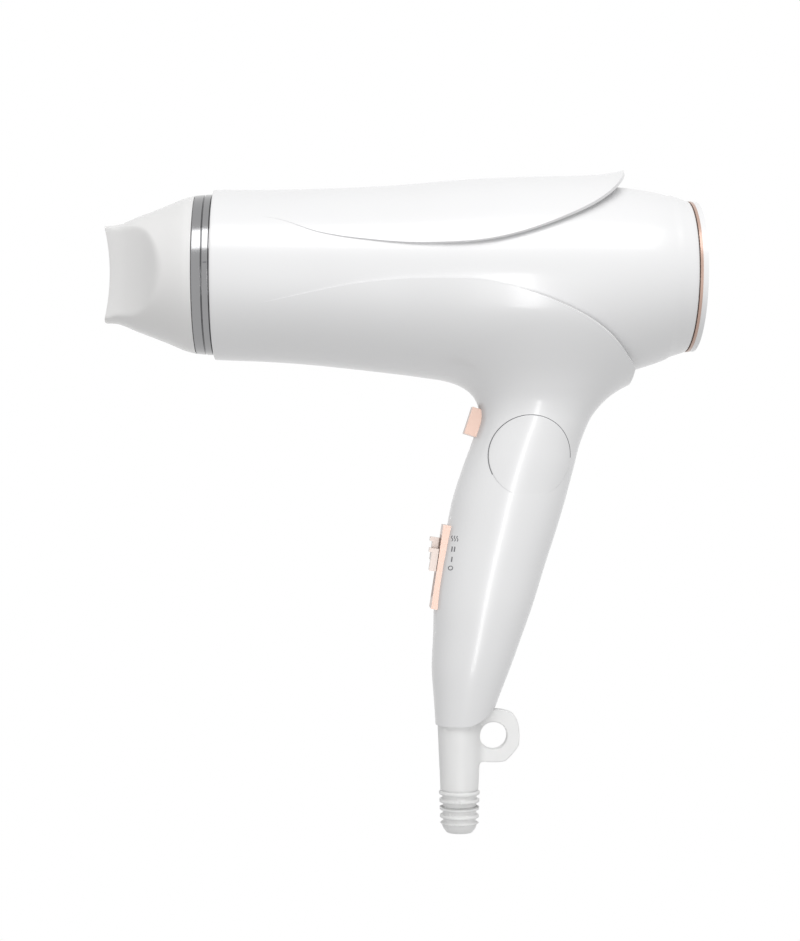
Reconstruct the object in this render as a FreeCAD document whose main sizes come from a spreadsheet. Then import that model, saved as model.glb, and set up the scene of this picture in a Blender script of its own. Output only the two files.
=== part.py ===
import FreeCAD, Part
import Sketcher
import math
import os
import re

# Hand-held hair dryer with a concentrator nozzle.
# Frame: millimetres, +Z up, the nozzle points along -X, the air inlet faces +X.
# The origin is the middle of the hand grip.

os.makedirs("parts", exist_ok=True)

doc = FreeCAD.newDocument("HairDryer")
sheet = doc.addObject("Spreadsheet::Sheet", "Sizes")

SIZES = {
    # barrel
    "barrel_axis": 119.3,          # height of the airflow axis above the grip centre
    "barrel_front": 107.0,         # front rim, ahead of the grip centre
    "barrel_rear": 72.0,           # rear rim, behind the grip centre
    "wall": 2.2,                   # casing wall
    "mouth_radius": 32.0,          # outside of the front rim
    "mouth_bore": 30.0,            # bore that takes the nozzle collar
    "mouth_depth": 12.0,           # depth of that bore
    "waist_radius": 37.4,          # barrel over the motor
    "rear_radius": 28.6,           # outside of the rear rim
    "rear_bore": 26.2,             # bore that takes the filter frame
    "rear_depth": 10.0,            # depth of that bore
    "cover_start": 66.0,           # front end of the raised covers, ahead of the grip centre
    "cover_rise": 2.9,             # how far the covers stand above the barrel at the motor
    "fin_rise": 7.2,               # how far the tail fin stands above the barrel
    "fin_end": 48.5,               # tip of the tail fin, behind the grip centre
    # handle
    "grip_length": 51.0,           # grip centre to the foot of the handle
    "grip_width": 39.8,            # front to back at the switches
    "grip_depth": 34.4,            # side to side at the switches
    "foot_width": 20.6,
    "foot_depth": 19.6,
    "neck_width": 45.2,
    "neck_depth": 39.6,
    # switches on the front of the handle
    "plate_length": 32.0,
    "plate_width": 13.0,
    "plate_thickness": 2.4,
    "plate_height": 9.0,           # middle of the plate above the grip centre
    "plate_tilt": 8.5,
    "knob_length": 8.6,
    "knob_width": 4.6,
    "knob_rise": 2.6,              # knob above the plate
    "slot_width": 2.0,
    "cool_width": 9.0,
    "cool_length": 10.6,
    "cool_rise": 4.6,              # button above the casing
    "cool_tilt": 18.0,
    "panel_width": 9.6,
    "panel_length": 31.0,
    "panel_tilt": 19.4,
    # cord sleeve with hang loop
    "sleeve_radius": 8.4,
    "sleeve_end_radius": 6.7,
    "sleeve_length": 41.0,
    "cord_bore": 3.4,
    "rib_height": 0.8,
    "rib_pitch": 2.9,
    "loop_bore": 5.2,
    "loop_wall": 4.6,
    "loop_thickness": 5.0,
    # nozzle
    "collar_length": 6.4,          # visible chrome band
    "collar_radius": 30.2,
    "spigot_length": 9.0,          # part of the collar inside the barrel
    "slide_gap": 0.3,
    "nozzle_length": 34.0,
    "nozzle_wall": 1.6,
    "slot_height": 36.6,           # outside height of the nozzle mouth
    "slot_thickness": 13.0,        # outside thickness of the nozzle mouth
    "mouth_hollow": 2.2,           # how far the mouth's middle sits behind its corners
    "turn_land": 4.0,              # bearing land between nozzle and collar
    # fan and motor
    "fan_radius": 26.6,
    "fan_width": 10.0,
    "fan_gap": 0.9,
    "hub_radius": 9.0,
    "duct_wall": 1.5,
    "duct_length": 44.0,
    "motor_radius": 13.5,
    "motor_length": 31.0,
    "shaft_radius": 1.0,
    "bush_radius": 2.6,
    # heater
    "heater_radius": 26.4,
    "heater_wall": 0.6,
    "mica_thickness": 0.8,
    "wire_radius": 0.45,
    "coil_radius": 19.0,
    "coil_pitch": 7.5,
    # rear filter
    "grille_bar": 1.4,
    "filter_flange": 2.0,
    "screw_radius": 1.4,
    "screw_head": 2.7,
    "boss_wall": 1.7,
}

for row, (size_name, size_value) in enumerate(SIZES.items(), start=1):
    sheet.set("A%d" % row, size_name)
    sheet.set("B%d" % row, "%.4f" % size_value)
    sheet.setAlias("B%d" % row, size_name)
doc.recompute()

# Stations of the barrel: (place, radius, how far the centre sits under the airflow axis).
BARREL = [
    ("-barrel_front", "mouth_radius", "0"),
    ("-barrel_front * 0.70", "mouth_radius * 0.87 + waist_radius * 0.13", "0.6"),
    ("-barrel_front * 0.38", "mouth_radius * 0.52 + waist_radius * 0.48", "1.6"),
    ("-barrel_front * 0.09", "mouth_radius * 0.15 + waist_radius * 0.85", "2.2"),
    ("barrel_rear * 0.28", "waist_radius", "2.3"),
    ("barrel_rear * 0.62", "waist_radius * 0.78 + rear_radius * 0.22", "1.9"),
    ("barrel_rear * 0.81", "waist_radius * 0.49 + rear_radius * 0.51", "0.9"),
    ("barrel_rear", "rear_radius", "0"),
]

# Stations of the handle: (height, middle, half width along X, half depth along Y).
HANDLE = [
    ("-grip_length", "-13.2", "foot_width / 2", "foot_depth / 2"),
    ("-grip_length * 0.82", "-11.8", "foot_width * 0.59", "foot_depth * 0.58"),
    ("-grip_length * 0.6", "-10.1", "foot_width * 0.26 + grip_width * 0.23",
     "foot_depth * 0.26 + grip_depth * 0.25"),
    ("-grip_length * 0.1", "-5.1", "grip_width * 0.475", "grip_depth * 0.48"),
    ("plate_height", "-2.4", "grip_width / 2", "grip_depth / 2"),
    ("barrel_axis - 85.1", "4.4", "grip_width * 0.54", "grip_depth * 0.52"),
    ("barrel_axis - 69.3", "9.2", "grip_width * 0.523", "grip_depth * 0.52"),
    ("barrel_axis - 56.2", "14", "neck_width * 0.46", "neck_depth * 0.46"),
    ("barrel_axis - 48.6", "16.5", "neck_width / 2", "neck_depth / 2"),
    ("barrel_axis - 42.5", "16", "neck_width * 0.63", "neck_depth * 0.53"),
    ("barrel_axis - 36", "16", "neck_width * 0.68", "neck_depth * 0.53"),
    ("barrel_axis - 24", "16", "neck_width * 0.66", "neck_depth * 0.5"),
]

TURN = {
    "X": FreeCAD.Rotation(FreeCAD.Vector(0, 1, 0), 90),
    "Y": FreeCAD.Rotation(FreeCAD.Vector(1, 0, 0), -90),
    "Z": FreeCAD.Rotation(),
}


# ---------------------------------------------------------------- small helpers

def formula(text):
    """Turn bare size names into references to the sheet."""
    def name(word):
        return "Sizes." + word.group(0) if word.group(0) in SIZES else word.group(0)
    return re.sub(r"[a-z][a-z_]*", name, text)


def number(text):
    """The present value of a formula."""
    return float(sheet.evalExpression(formula(text)))


def bind(item, prop, text):
    item.setExpression(prop, formula(text))


def place(item, at, turn="Z"):
    """Turn an item to an axis, and bind its position to formulas."""
    item.Placement = FreeCAD.Placement(FreeCAD.Vector(0, 0, 0), TURN[turn])
    for axis, text in zip("xyz", at):
        bind(item, "Placement.Base." + axis, text)
    return item


def make(kind, sizes, at=("0", "0", "0"), turn="Z"):
    """A Part primitive with bound sizes and place."""
    item = doc.addObject("Part::" + kind, kind)
    for prop, text in sizes.items():
        bind(item, prop, text)
    return place(item, at, turn)


def cylinder(radius, length, at, turn="Z"):
    return make("Cylinder", {"Radius": radius, "Height": length}, at, turn)


def box(length, width, height, at):
    """A box centred on the Y axis of its place."""
    sizes = {"Length": length, "Width": width, "Height": height}
    return make("Box", sizes, (at[0], "(%s) - (%s) / 2" % (at[1], width), at[2]))


def cut(base, *tools):
    for tool in tools:
        item = doc.addObject("Part::Cut", "Cut")
        item.Base = base
        item.Tool = tool
        base = item
    return base


def fuse(*pieces):
    item = doc.addObject("Part::MultiFuse", "Fuse")
    item.Shapes = list(pieces)
    return item


def common(first, second):
    item = doc.addObject("Part::Common", "Common")
    item.Base = first
    item.Tool = second
    return item


def group(pieces):
    """Separate solids that share one node."""
    item = doc.addObject("Part::Compound", "Group")
    item.Links = list(pieces)
    return item


def tube(outer, inner, length, at, turn="Z"):
    return cut(cylinder(outer, length, at, turn), cylinder(inner, length, at, turn))


def loft(sections):
    item = doc.addObject("Part::Loft", "Loft")
    item.Sections = sections
    item.Solid = True
    return item


def ring_loft(stations):
    """A loft along X through circles given as (place, radius, drop)."""
    circles = []
    for where, radius, drop in stations:
        at = (where, "0", "barrel_axis - (%s)" % drop)
        circles.append(make("Circle", {"Radius": radius}, at, "X"))
    return loft(circles)


def handle_loft(wall):
    """A loft along Z through the handle's ellipses, shrunk by a wall."""
    ovals = []
    for height, middle, half_width, half_depth in HANDLE:
        sizes = {"MajorRadius": "(%s) - (%s)" % (half_width, wall),
                 "MinorRadius": "(%s) - (%s)" % (half_depth, wall)}
        ovals.append(make("Ellipse", sizes, (middle, "0", height)))
    return loft(ovals)


def profile(corners, plane="XZ"):
    """A closed sketch of straight sides; every corner is bound to two formulas."""
    sketch = doc.addObject("Sketcher::SketchObject", "Outline")
    turns = {"XZ": FreeCAD.Rotation(FreeCAD.Vector(1, 0, 0), 90),
             "YZ": FreeCAD.Rotation(FreeCAD.Vector(1, 1, 1), 120),
             "XY": FreeCAD.Rotation()}
    sketch.Placement = FreeCAD.Placement(FreeCAD.Vector(0, 0, 0), turns[plane])
    draw(sketch, corners)
    return sketch


def draw(sketch, corners):
    """Draw closed straight sides in a sketch and bind every corner."""
    spots = [FreeCAD.Vector(number(across), number(up), 0) for across, up in corners]
    last = len(spots)
    for index in range(last):
        sketch.addGeometry(Part.LineSegment(spots[index], spots[(index + 1) % last]), False)
    for index in range(last):
        sketch.addConstraint(Sketcher.Constraint("Coincident", index, 2, (index + 1) % last, 1))
    for index, (across, up) in enumerate(corners):
        for kind, text in (("DistanceX", across), ("DistanceY", up)):
            value = number(text)
            key = sketch.addConstraint(Sketcher.Constraint(kind, index, 1, value))
            label = "c%d%s" % (index, kind[-1])
            sketch.renameConstraint(key, label)
            sketch.setExpression("Constraints." + label, formula(text))


def extrude(sketch, direction, back, forward):
    item = doc.addObject("Part::Extrusion", "Extrude")
    item.Base = sketch
    item.DirMode = "Custom"
    item.Dir = FreeCAD.Vector(*direction)
    bind(item, "LengthFwd", forward)
    bind(item, "LengthRev", back)
    item.Solid = True
    return item


def revolve(sketch, axis_height="barrel_axis"):
    """Turn an XZ sketch about the airflow axis."""
    item = doc.addObject("Part::Revolution", "Revolve")
    item.Source = sketch
    item.Axis = FreeCAD.Vector(1, 0, 0)
    bind(item, "Base.z", axis_height)
    item.Angle = 360
    item.Solid = True
    return item


def spread(item, count):
    """Copies of an item spread evenly about the airflow axis."""
    copies = []
    for index in range(count):
        angle = 2 * math.pi * index / count
        copy = group([item])
        turn = FreeCAD.Rotation(FreeCAD.Vector(1, 0, 0), math.degrees(angle))
        copy.Placement = FreeCAD.Placement(FreeCAD.Vector(0, 0, 0), turn)
        bind(copy, "Placement.Base.y", "barrel_axis * %.9f" % math.sin(angle))
        bind(copy, "Placement.Base.z", "barrel_axis * %.9f" % (1 - math.cos(angle)))
        copies.append(copy)
    return copies


def tilted(item, frame):
    """Move an item from a tilted local frame (front = -X, along = Z) onto the handle."""
    across, height, tilt = frame
    moved = group([item])
    turn = FreeCAD.Rotation(FreeCAD.Vector(0, 1, 0), 10)
    moved.Placement = FreeCAD.Placement(FreeCAD.Vector(0, 0, 0), turn)
    bind(moved, "Placement.Base.x", across)
    bind(moved, "Placement.Base.z", height)
    bind(moved, "Placement.Rotation.Angle", "(%s) * 1 deg" % tilt)
    return moved


PLATE = ("-2.4 - grip_width / 2", "plate_height", "plate_tilt")
COOL = ("14 - neck_width * 0.46", "barrel_axis - 56.2", "cool_tilt")
PANEL = ("7.6 - grip_width / 2", "barrel_axis - 77.8", "panel_tilt")


# ---------------------------------------------------------------- casing

COVER = [
    ("-cover_start", "mouth_radius * 0.81 + waist_radius * 0.19 + 0.5", "0.9"),
    ("-barrel_front * 0.38", "mouth_radius * 0.52 + waist_radius * 0.48 + cover_rise * 0.35", "1.6"),
    ("-barrel_front * 0.09", "mouth_radius * 0.15 + waist_radius * 0.85 + cover_rise * 0.75", "2.2"),
    ("barrel_rear * 0.28", "waist_radius + cover_rise", "2.3"),
]
FIN = COVER + [
    ("fin_end - 10.5", "waist_radius - 0.8 + cover_rise * 1.35", "2.1"),
    ("fin_end", "waist_radius - 2.2 + fin_rise", "1.6"),
]
CHIN = COVER + [
    ("fin_end - 10.5", "waist_radius - 0.8 + cover_rise * 1.2", "2.1"),
    ("fin_end + 1.5", "waist_radius - 2.4 + cover_rise * 1.4", "1.6"),
]
# Lips of the two covers in side view: (place, height above the airflow axis).
TOP_LIP = [("-cover_start - 2", "12.8"), ("-28", "8.4"), ("-3.4", "10.3"), ("21.3", "18.3"),
           ("fin_end - 10.5", "27.8"), ("fin_end - 4", "34.6"), ("fin_end + 1", "42.5")]
LOW_LIP = [("-cover_start - 2", "-9.2"), ("-28", "-4.8"), ("-3.4", "-6.4"), ("21.3", "-14.4"),
           ("fin_end - 10.5", "-24.6"), ("fin_end + 1.5", "-35.8")]


def side_of_lip(lip, reach):
    """Everything on one side of a lip: a face in side view, drawn right across the barrel."""
    axis = number("barrel_axis")
    points = [FreeCAD.Vector(number(x), -60, axis + number(z)) for x, z in lip]
    curve = Part.BSplineCurve()
    curve.interpolate(points)
    far = [FreeCAD.Vector(points[-1].x, -60, axis + reach), FreeCAD.Vector(points[0].x, -60, axis + reach)]
    sides = Part.makePolygon([points[-1]] + far + [points[0]]).Edges
    face = Part.Face(Part.Wire([curve.toShape()] + sides))
    item = doc.addObject("Part::Feature", "LipRegion")
    item.Shape = face.extrude(FreeCAD.Vector(0, 120, 0))
    return item


def rib(where, bore):
    """A ring rib inside the barrel that seats a round piece."""
    disc = cylinder("waist_radius + 20", "2", (where, "0", "barrel_axis"), "X")
    ring = common(ring_loft(BARREL), disc)
    return cut(ring, cylinder(bore, "4", ("(%s) - 1" % where, "0", "barrel_axis"), "X"))


SCREWS = [("26", "barrel_axis - 62"), ("15.5", "barrel_axis - 97"), ("-3.6", "-grip_length * 0.62")]


def boss(across, height):
    """A post across the handle for one screw, trimmed to the handle's outside."""
    post = cylinder("screw_radius + boss_wall", "grip_depth * 2", (across, "-grip_depth", height), "Y")
    return common(handle_loft("0.2"), post)


def screw_hole(across, height):
    shaft = cylinder("screw_radius", "grip_depth", (across, "-grip_depth * 0.32", height), "Y")
    head = cylinder("screw_head + 0.2", "grip_depth", (across, "grip_depth * 0.3", height), "Y")
    return fuse(shaft, head)


def casing():
    """Both halves of the main casing as one hollow shape, before it is split."""
    outside = fuse(ring_loft(BARREL), handle_loft("0"))
    hollow_stations = [(where, "(%s) - wall" % radius, drop) for where, radius, drop in BARREL]
    floor = box("grip_width * 2", "grip_depth * 2", "grip_length",
                ("-grip_width", "0", "-grip_length * 2 + wall + 0.2"))
    inside = fuse(ring_loft(hollow_stations), cut(handle_loft("wall"), floor))
    shell = cut(outside, inside)
    posts = [boss(across, height) for across, height in SCREWS]
    ribs = [rib("barrel_rear - 26", DUCT_OUTSIDE), rib("barrel_rear - 52", DUCT_OUTSIDE),
            rib("-barrel_front * 0.5", "heater_radius")]
    shell = fuse(shell, *posts, *ribs)
    mouth = cylinder("mouth_bore", "mouth_depth", ("-barrel_front", "0", "barrel_axis"), "X")
    inlet = cylinder("rear_bore", "rear_depth + 1", ("barrel_rear - rear_depth", "0", "barrel_axis"), "X")
    foot_hole = cylinder("sleeve_radius - 1.8", "8", ("-14.3", "0", "-grip_length - 2"))
    corners = [("-10", "-grip_length - 1"), ("-9", "-grip_length"), ("-5", "-grip_length + 2.2"),
               ("2", "-grip_length + 8"), ("12", "-grip_length + 8"), ("12", "-grip_length - 1")]
    heel = extrude(profile(corners), (0, 1, 0), "20", "20")
    plate_slot = tilted(box("8", "plate_width", "plate_length", ("-4", "0", "-plate_length / 2")), PLATE)
    panel_slot = tilted(box("8", "panel_width", "panel_length", ("-4", "0", "-panel_length / 2")), PANEL)
    cool_slot = tilted(box("12", "cool_width + 0.5", "cool_length + 0.5",
                           ("-6", "0", "-(cool_length + 0.5) / 2")), COOL)
    holes = [screw_hole(across, height) for across, height in SCREWS]
    return cut(shell, mouth, inlet, foot_hole, heel, plate_slot, panel_slot, cool_slot, *holes)


def half(shape, side):
    """One half of the casing; side is -1 for the left half (-Y) and 1 for the right one."""
    start = "0" if side > 0 else "-200"
    block = make("Box", {"Length": "600", "Width": "200", "Height": "600"}, ("-300", start, "-300"))
    return common(shape, block)


def top_cover():
    """Raised cover along the top, ending in the tail fin."""
    return cut(common(ring_loft(FIN), side_of_lip(TOP_LIP, 60)), ring_loft(BARREL))


def lower_cover():
    """Raised cover under the barrel, open in the middle where the neck passes through it."""
    oval = {"MajorRadius": "neck_width * 0.70", "MinorRadius": "neck_depth * 0.55"}
    heights = ("barrel_axis - 61", "barrel_axis + 5")
    neck = loft([make("Ellipse", oval, ("16", "0", height)) for height in heights])
    below_lip = cut(side_of_lip(LOW_LIP, -60), neck)
    return cut(common(ring_loft(CHIN), below_lip), ring_loft(BARREL))


# ---------------------------------------------------------------- air path

DUCT_OUTSIDE = "fan_radius + fan_gap + duct_wall"
FAN_PLACE = "barrel_rear - 27"


def ring_in_bore(outer, inner, where, length):
    return tube(outer, inner, length, (where, "0", "barrel_axis"), "X")


def spoke(where, length, inner, outer, thickness):
    """One radial bar above the airflow axis."""
    return box(length, thickness, "(%s) - (%s)" % (outer, inner), (where, "0", "barrel_axis + (%s)" % inner))


def front_grille():
    """Guard rings and spokes just inside the mouth."""
    where = "-barrel_front + mouth_depth - 2"
    rings = [ring_in_bore("mouth_bore", "mouth_bore - 3.6", where, "2")]
    rings += [ring_in_bore("%d" % (radius + 1), "%d" % radius, where, "2") for radius in (6, 13, 20)]
    bars = spread(spoke(where, "2", "6.5", "mouth_bore - 3", "1.2"), 6)
    return fuse(*rings, *bars)


def fan_duct():
    """Duct round the fan, with guide vanes that carry the motor holder."""
    where = "barrel_rear - 58"
    wall = ring_in_bore(DUCT_OUTSIDE, "fan_radius + fan_gap", where, "duct_length")
    holder = ring_in_bore("motor_radius + 1.6", "motor_radius", where, "22")
    vanes = spread(spoke(where, "18", "motor_radius + 1", "fan_radius + fan_gap + 0.5", "1.2"), 7)
    return fuse(wall, holder, *vanes)


def motor_can():
    """Steel can of the motor, with a bore for the front bearing."""
    can = cylinder("motor_radius", "motor_length - 3", ("barrel_rear - 61", "0", "barrel_axis"), "X")
    neck = cylinder("bush_radius + 1.4", "2", ("barrel_rear - 33", "0", "barrel_axis"), "X")
    hollow = cylinder("motor_radius - 1", "motor_length - 5", ("barrel_rear - 60", "0", "barrel_axis"), "X")
    bore = cylinder("bush_radius", "40", ("barrel_rear - 62", "0", "barrel_axis"), "X")
    return cut(fuse(can, neck), hollow, bore)


def motor_bearings():
    """A sintered bush at each end of the motor."""
    return group([ring_in_bore("bush_radius", "shaft_radius + 0.05", where, "2.5")
                  for where in ("barrel_rear - 33.5", "barrel_rear - 61")])


def motor_magnets():
    """Two magnet shells inside the can."""
    ring = ring_in_bore("motor_radius - 1", "motor_radius - 3", "barrel_rear - 56", "18")
    gap = box("30", "6", "80", ("barrel_rear - 60", "0", "barrel_axis - 40"))
    return cut(ring, gap)


def motor_rotor():
    """Wound rotor on the shaft."""
    core = ring_in_bore("motor_radius - 4", "shaft_radius", "barrel_rear - 55", "15")
    slot = spoke("barrel_rear - 56", "17", "motor_radius - 7", "motor_radius", "1.6")
    return cut(core, *spread(slot, 5))


def motor_shaft():
    return cylinder("shaft_radius", "37.4", ("barrel_rear - 61.4", "0", "barrel_axis"), "X")


def fan_impeller():
    """Hub and seven pitched blades."""
    hub = cylinder("hub_radius", "fan_width", (FAN_PLACE, "0", "barrel_axis"), "X")
    nose = make("Cone", {"Radius1": "hub_radius", "Radius2": "hub_radius - 4", "Height": "4"},
                ("%s + fan_width" % FAN_PLACE, "0", "barrel_axis"), "X")
    sizes = {"Length": "fan_width * 1.5", "Width": "1.2", "Height": "fan_radius - hub_radius + 2"}
    blade = make("Box", sizes,
                 ("%s - 1.5" % FAN_PLACE, "-4.5", "barrel_axis + hub_radius - 1"))
    blade.Placement.Rotation = FreeCAD.Rotation(FreeCAD.Vector(0, 0, 1), 36)
    sweep = cylinder("fan_radius", "fan_width", (FAN_PLACE, "0", "barrel_axis"), "X")
    blades = common(fuse(*spread(blade, 7)), sweep)
    bore = cylinder("shaft_radius", "24.1", ("barrel_rear - 48", "0", "barrel_axis"), "X")
    return cut(fuse(hub, nose, blades), bore)


def heater_tube():
    """Mica sleeve round the heater."""
    return ring_in_bore("heater_radius", "heater_radius - heater_wall", "-barrel_front + 15", HEATER_LENGTH)


HEATER_LENGTH = "barrel_front + barrel_rear - 79"
COIL_COUNT = 9


def coil_turns(wire):
    """Rings of heating wire along the heater."""
    turns = []
    for index in range(COIL_COUNT):
        where = "-barrel_front + 23 + coil_pitch * %d" % index
        sizes = {"Radius1": "coil_radius", "Radius2": wire}
        turns.append(make("Torus", sizes, (where, "0", "barrel_axis"), "X"))
    return turns


def mica_board(upright):
    """One of the two crossed mica boards; they slot into each other half way along."""
    length = "(%s) - 4" % HEATER_LENGTH
    height = "heater_radius * 2 - heater_wall * 2 - 1"
    start = ("-barrel_front + 17", "0", "barrel_axis - (%s) / 2" % height)
    flat = ("-barrel_front + 17", "0", "barrel_axis - mica_thickness / 2")
    middle = "-barrel_front + 17 + (%s) / 2" % length
    if upright:
        board = box(length, "mica_thickness", height, start)
        slot = box(length, "mica_thickness * 2", "mica_thickness", (middle, "0", flat[2]))
    else:
        board = box(length, height, "mica_thickness", flat)
        slot = box("(%s) / 2" % length, "mica_thickness", "4", (flat[0], "0", "barrel_axis - 2"))
    return cut(board, slot, *coil_turns("wire_radius + 0.05"))


def thermostat():
    """Bimetal cut-out beside the coils."""
    can = cylinder("4", "3", ("-barrel_front + 92", "6", "barrel_axis + 5"), "X")
    legs = box("7", "2", "0.8", ("-barrel_front + 95", "6", "barrel_axis + 4.6"))
    return fuse(can, legs)


def thermal_fuse():
    body = cylinder("1.6", "9", ("-barrel_front + 91", "-9", "barrel_axis - 8"), "X")
    leads = cylinder("0.5", "17", ("-barrel_front + 87", "-9", "barrel_axis - 8"), "X")
    return fuse(body, leads)


def ion_module():
    """Sealed high voltage module under the heater tube."""
    return box("24", "14", "7", ("-4", "0", "barrel_axis - 38"))


def ion_needle():
    """Needle and its holder behind the front grille."""
    where = "-barrel_front + mouth_depth + 4"
    holder = cylinder("1.6", "5", (where, "0", "barrel_axis - mouth_bore + 2"), "X")
    point = make("Cone", {"Radius1": "0.5", "Radius2": "0.1", "Height": "2"},
                 ("-barrel_front + mouth_depth + 4", "0", "barrel_axis - mouth_bore + 2"), "X")
    point.Placement.Rotation = FreeCAD.Rotation(FreeCAD.Vector(0, 1, 0), -90)
    return fuse(holder, point)


# ---------------------------------------------------------------- rear filter

def filter_frame():
    """Flange over the rear rim and the spigot that grips the bore."""
    flange = ring_in_bore("rear_radius - 0.2", "rear_bore - 1.6", "barrel_rear + 1.3", "filter_flange")
    spigot = ring_in_bore("rear_bore - slide_gap", "rear_bore - 1.6", "barrel_rear - rear_depth + 2",
                          "rear_depth - 0.7")
    return fuse(flange, spigot)


def filter_ring():
    """Thin coloured ring between the rear rim and the flange."""
    return ring_in_bore("rear_radius", "rear_bore - slide_gap", "barrel_rear + 0.3", "1")


def rear_grille():
    """Rings and spokes across the air inlet."""
    where = "barrel_rear + 1.3"
    rings = [ring_in_bore("%.1f + grille_bar" % radius, "%.1f" % radius, where, "1.6")
             for radius in (4.0, 8.0, 12.0, 16.0, 20.0)]
    bars = spread(spoke(where, "1.6", "4.5", "rear_bore - 1.6", "grille_bar"), 12)
    return fuse(*rings, *bars)


def filter_mesh():
    """Fine dust mesh in front of the fan."""
    return cylinder("rear_bore - 1.6", "0.6", ("barrel_rear - 4", "0", "barrel_axis"), "X")


# ---------------------------------------------------------------- nozzle

COLLAR_BACK = "-barrel_front - 0.4"
COLLAR_FRONT = "-barrel_front - 0.4 - collar_length"
NOZZLE_BACK = "-barrel_front - 0.6 - collar_length"
NOZZLE_TIP = "-barrel_front - 0.6 - collar_length - nozzle_length"


def nozzle_collar():
    """Chrome band with the spigot that pushes into the barrel."""
    band = ring_in_bore("collar_radius", "mouth_bore - 4", COLLAR_FRONT, "collar_length")
    spigot = ring_in_bore("mouth_bore - slide_gap", "mouth_bore - 2", COLLAR_BACK, "spigot_length")
    lip = ring_in_bore("mouth_bore - 1.5", "mouth_bore - 4", "(%s) - 1" % COLLAR_BACK, "2")
    return fuse(band, lip, spigot)


def nozzle_solid(shrink):
    """Round cone flattened by two sloping sides; shrink is the distance inside the outer skin."""
    rings = [(NOZZLE_BACK, "collar_radius - 0.5"),
             ("(%s) + nozzle_length * 0.65" % NOZZLE_TIP, "collar_radius - 4.8"),
             ("(%s) + nozzle_length * 0.36" % NOZZLE_TIP, "slot_height / 2 + 3.1"),
             ("(%s) + 3" % NOZZLE_TIP, "slot_height / 2 - 0.3"), (NOZZLE_TIP, "slot_height / 2")]
    rim = [(where, "barrel_axis + (%s) - (%s)" % (radius, shrink)) for where, radius in rings]
    cone = revolve(profile([(NOZZLE_BACK, "barrel_axis")] + rim + [(NOZZLE_TIP, "barrel_axis")]))
    sides = [(NOZZLE_TIP, "slot_thickness / 2"),
             ("(%s) + nozzle_length * 0.3" % NOZZLE_TIP, "slot_thickness / 2 + 5.8"),
             ("(%s) + nozzle_length * 0.63" % NOZZLE_TIP, "collar_radius - 5.5"),
             (NOZZLE_BACK, "collar_radius + 8")]
    left = [(where, "(%s) - (%s)" % (half_width, shrink)) for where, half_width in sides]
    right = [(where, "(%s) - (%s)" % (shrink, half_width)) for where, half_width in reversed(sides)]
    wedge = extrude(profile(left + right, "XY"), (0, 0, 1), "0", "barrel_axis * 2")
    return common(cone, wedge)


def nozzle_shell():
    """Flattened air concentrator with a round bearing land."""
    shell = cut(nozzle_solid("0"), nozzle_solid("nozzle_wall"))
    land = ring_in_bore("mouth_bore - 4 - slide_gap", "mouth_bore - 6.2", NOZZLE_BACK, "turn_land")
    web = ring_in_bore("collar_radius - 1", "mouth_bore - 6.2", "(%s) - 1.4" % NOZZLE_BACK, "1.4")
    hollow = ("(%s) + mouth_hollow - slot_height * 2" % NOZZLE_TIP, "-40", "barrel_axis")
    scoop = cylinder("slot_height * 2", "80", hollow, "Y")
    return cut(fuse(shell, land, web), scoop)


# ---------------------------------------------------------------- switches

def switch_plate():
    """Coloured plate on the front of the handle, with a slot for each slide switch."""
    plate = box("plate_thickness + 0.8", "plate_width", "plate_length", ("-0.8", "0", "-plate_length / 2"))
    slots = [box("20", "slot_width + 0.4", "plate_length - 8", ("-8", side, "-plate_length / 2 + 4"))
             for side in (SPEED_SIDE, HEAT_SIDE)]
    return tilted(cut(plate, *slots), PLATE)


SPEED_SIDE = "-knob_width / 2 - 0.5"
HEAT_SIDE = "knob_width / 2 + 0.5"


def knob(side, middle):
    """Thumb piece with a raised edge, and its stem through the plate."""
    thumb = box("knob_rise", "knob_width", "knob_length",
                ("-0.8 - 0.2 - knob_rise", side, "(%s) - knob_length / 2" % middle))
    ridge = box("1", "knob_width", "1.6", ("-2 - knob_rise", side, "(%s) + knob_length / 2 - 1.6" % middle))
    stem = box("plate_thickness + 3.2", "slot_width", "3", ("-1.2", side, "(%s) - 1.5" % middle))
    return tilted(fuse(thumb, ridge, stem), PLATE)


def switch_body(side):
    """Slide switch housing behind the plate, open at the front for the stem."""
    outer = box("7", "knob_width + 0.4", "22", ("plate_thickness", side, "-11"))
    inner = box("4", "slot_width + 0.8", "18", ("plate_thickness - 0.5", side, "-9"))
    return tilted(cut(outer, inner), PLATE)


def control_board():
    """Circuit board behind the switches."""
    return tilted(box("1.6", "15", "46", ("plate_thickness + 7", "0", "-26")), PLATE)


def capacitor():
    return tilted(box("8", "6", "13", ("plate_thickness + 8.6", "-4", "-20")), PLATE)


def choke():
    """Wound ferrite core on the board."""
    core = cylinder("3.2", "10", ("plate_thickness + 12", "3.6", "4"))
    return tilted(core, PLATE)


def rectifier():
    diodes = [box("3", "3", "6", ("plate_thickness + 8.6", side, "-2")) for side in ("-6", "-1.5")]
    return tilted(group(diodes), PLATE)


def front_panel(upper):
    """Upper or lower half of the strip above the switches."""
    start = "0" if upper else "-panel_length / 2"
    return tilted(box("2.4", "panel_width", "panel_length / 2", ("-0.7", "0", start)), PANEL)


def cool_button():
    """Cool shot button: cap, and the stem that carries the spring."""
    cap = box("cool_rise + 5", "cool_width", "cool_length", ("-cool_rise", "0", "-cool_length / 2"))
    stem = cylinder("1.2", "4.4", ("4.5", "0", "0"), "X")
    return tilted(fuse(cap, stem), COOL)


def cool_spring():
    """Return spring between the button and its switch."""
    return tilted(tube("2.6", "1.8", "7.2", ("5.4", "0", "0"), "X"), COOL)


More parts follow.
